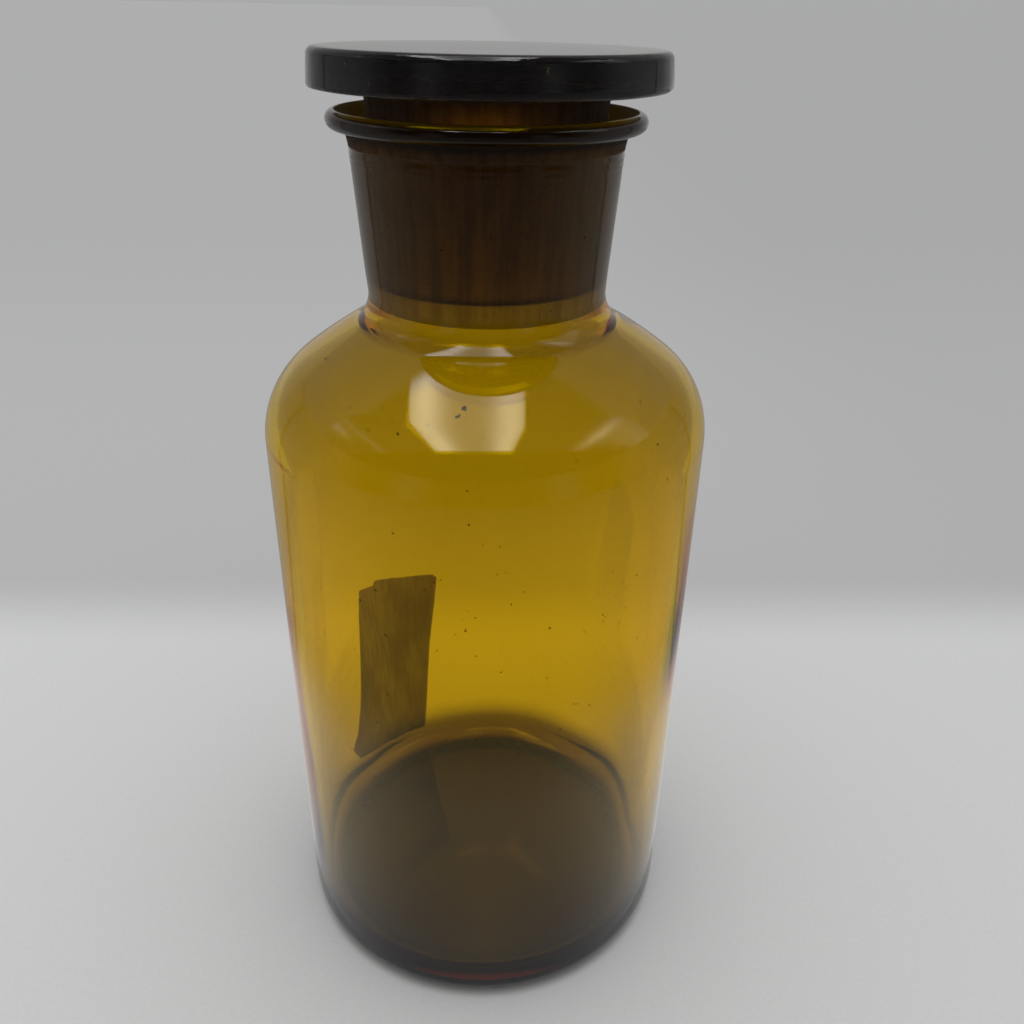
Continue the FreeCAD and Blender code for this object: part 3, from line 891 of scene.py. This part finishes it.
def ceiling_glow(x, y, height):
    """A lit panel with two brighter strips, and fainter lights to its left and right."""
    behind = smooth_step(y, PANEL_BACK, PANEL_BACK + PANEL_FADE)
    lit = smooth_step(y, PANEL_FRONT - PANEL_EDGE, PANEL_FRONT + PANEL_EDGE) * (1 - behind)
    if PANEL_LEFT <= x <= PANEL_RIGHT:
        panel = PANEL_GLOW + sum(glow * hump(x, middle, width) for glow, middle, width in PANEL_STRIPS)
    else:
        panel = 0.06 + 1.5 * hump(x, 0.48, 0.06) * hump(y, -0.12, 0.2)
        panel += 0.45 * smooth_step(x, 0.45, 0.6) * smooth_step(y, -0.35, -0.1)
        panel += 0.8 * hump(x, -0.78, 0.09) * hump(y, 0.06, 0.14) + 0.3 * hump(x, -0.6, 0.04)
    sides = smooth_step(abs(x), 0.5, 1.0) * smooth_step(y, -0.3, 0.1)
    return CEILING_GLOW + lit * panel + BEHIND_GLOW * behind + 0.1 * sides * lit


def glowing_sheet(name, columns, rows, place, glow, mirrored, seen_through):
    """A sheet that only mirror reflections see if mirrored, and light through glass if seen_through.

    Each vertex says how bright it is.
    """
    vertices = [place(i / columns, j / rows) for j in range(rows + 1) for i in range(columns + 1)]
    faces = [(j * (columns + 1) + i, j * (columns + 1) + i + 1,
              (j + 1) * (columns + 1) + i + 1, (j + 1) * (columns + 1) + i)
             for j in range(rows) for i in range(columns)]
    mesh = bpy.data.meshes.new(name)
    mesh.from_pydata(vertices, [], faces)
    levels = mesh.attributes.new("glow", "FLOAT", "POINT")
    for vertex, level in zip(vertices, levels.data):
        level.value = glow(*vertex)
    sheet = bpy.data.objects.new(name, mesh)
    bpy.context.scene.collection.objects.link(sheet)
    material = bpy.data.materials.new(name)
    material.use_nodes = True
    nodes, links = material.node_tree.nodes, material.node_tree.links
    nodes.clear()
    output = nodes.new("ShaderNodeOutputMaterial")
    light = nodes.new("ShaderNodeEmission")
    level = nodes.new("ShaderNodeAttribute")
    level.attribute_name = "glow"
    links.new(level.outputs["Fac"], light.inputs["Strength"])
    links.new(light.outputs["Emission"], output.inputs["Surface"])
    material.cycles.emission_sampling = "NONE"
    mesh.materials.append(material)
    sheet.visible_camera = False
    sheet.visible_diffuse = False
    sheet.visible_glossy = mirrored
    sheet.visible_transmission = seen_through
    sheet.visible_shadow = False


def build_mirrored_room():
    """What polished glass mirrors: a pale floor that falls away in front, walls and a lit ceiling."""
    start = BODY_RADIUS + SHEET_GAP

    def on_floor(away, out):
        reach = start * (ROOM_RADIUS / start) ** out
        return (reach * math.sin(away), -reach * math.cos(away), SHEET_HEIGHT)

    def on_wall(away, up):
        return (ROOM_RADIUS * math.sin(away), -ROOM_RADIUS * math.cos(away), ROOM_HEIGHT * up)

    def on_ceiling(across, along):
        return (ROOM_RADIUS * (2 * across - 1), ROOM_RADIUS * (2 * along - 1), ROOM_HEIGHT)

    def round_room(name, limit, floor_light, wall_light, **seen):
        """The floor and wall from -limit to limit round the bottle, measured from its front."""
        glowing_sheet(name + "_floor", 480, 60, lambda turn, out: on_floor((2 * turn - 1) * limit, out),
                      floor_light, **seen)
        glowing_sheet(name + "_wall", 480, 12, lambda turn, up: on_wall((2 * turn - 1) * limit, up),
                      wall_light, **seen)

    round_room("mirrored", math.pi, floor_glow, wall_glow, mirrored=True, seen_through=False)
    round_room("front", math.radians(FRONT_AWAY), through_front(floor_glow), through_front(wall_glow),
               mirrored=False, seen_through=True)
    glowing_sheet("mirrored_ceiling", 260, 260, on_ceiling, ceiling_glow, mirrored=True, seen_through=True)


def add_overhead():
    """Very soft even light from straight above."""
    data = bpy.data.lights.new("overhead", "SUN")
    data.energy = OVERHEAD_POWER
    data.angle = OVERHEAD_SPREAD
    lamp = bpy.data.objects.new("overhead", data)
    lamp.location = (0, 0, 1)
    lamp.visible_glossy = False
    lamp.visible_transmission = False
    bpy.context.scene.collection.objects.link(lamp)


def build_lights():
    world = bpy.data.worlds.new("studio")
    bpy.context.scene.world = world
    world.use_nodes = True
    nodes, links = world.node_tree.nodes, world.node_tree.links
    sky = nodes["Background"]
    sky.inputs["Color"].default_value = (*SKY_COLOUR, 1)
    where = nodes.new("ShaderNodeTexCoord")
    split = nodes.new("ShaderNodeSeparateXYZ")
    links.new(where.outputs["Generated"], split.inputs["Vector"])
    rising = spread(nodes, links, split.outputs["Z"], 0, 0.6, SKY_LOW, SKY_HIGH)
    links.new(rising, sky.inputs["Strength"])
    add_overhead()


def build_camera():
    """In front of the bottle, looking down on it."""
    distance, height = CAMERA_DISTANCE * BODY_RADIUS, CAMERA_HEIGHT * BODY_RADIUS
    level = Vector((math.sin(CAMERA_YAW), math.cos(CAMERA_YAW), 0)) * math.cos(CAMERA_PITCH)
    forward = level - Vector((0, 0, math.sin(CAMERA_PITCH)))
    right = Vector((math.cos(CAMERA_YAW), -math.sin(CAMERA_YAW), 0))
    up = right.cross(forward)
    turned_right = right * math.cos(CAMERA_ROLL) + up * math.sin(CAMERA_ROLL)
    turned_up = up * math.cos(CAMERA_ROLL) - right * math.sin(CAMERA_ROLL)
    data = bpy.data.cameras.new("camera")
    data.sensor_width = CAMERA_SENSOR
    data.lens = CAMERA_LENS
    data.clip_start = 0.01
    camera = bpy.data.objects.new("camera", data)
    axes = Matrix((turned_right, turned_up, -forward)).transposed()
    camera.matrix_world = Matrix.Translation((0, -distance, height)) @ axes.to_4x4()
    bpy.context.scene.collection.objects.link(camera)
    bpy.context.scene.camera = camera


def set_render():
    """Enough bounces for light to get through several walls of glass."""
    scene = bpy.context.scene
    scene.view_settings.view_transform = "Standard"
    scene.cycles.use_denoising = True
    scene.cycles.max_bounces = 32
    scene.cycles.transmission_bounces = 32
    scene.cycles.glossy_bounces = 12
    scene.cycles.diffuse_bounces = 4


def place_piece(piece, material, body, node):
    piece.data.materials.append(material)
    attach(piece, body)
    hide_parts(node)


build_camera()
build_floor()
build_mirrored_room()
build_lights()
set_render()
bottle_glass = amber_glass("amber_bottle_glass", BOTTLE_AMBER, BOTTLE_SKIN, BOTTLE_DUST, blown=True)
stopper_glass = amber_glass("amber_stopper_glass", STOPPER_AMBER, STOPPER_SKIN, STOPPER_DUST)
place_piece(build_bottle(), bottle_glass, "bottle", "bottle")
place_piece(build_stopper(), stopper_glass, "stopper", "stopper")
place_piece(build_label(), old_paper(), "bottle", "label_scrap")
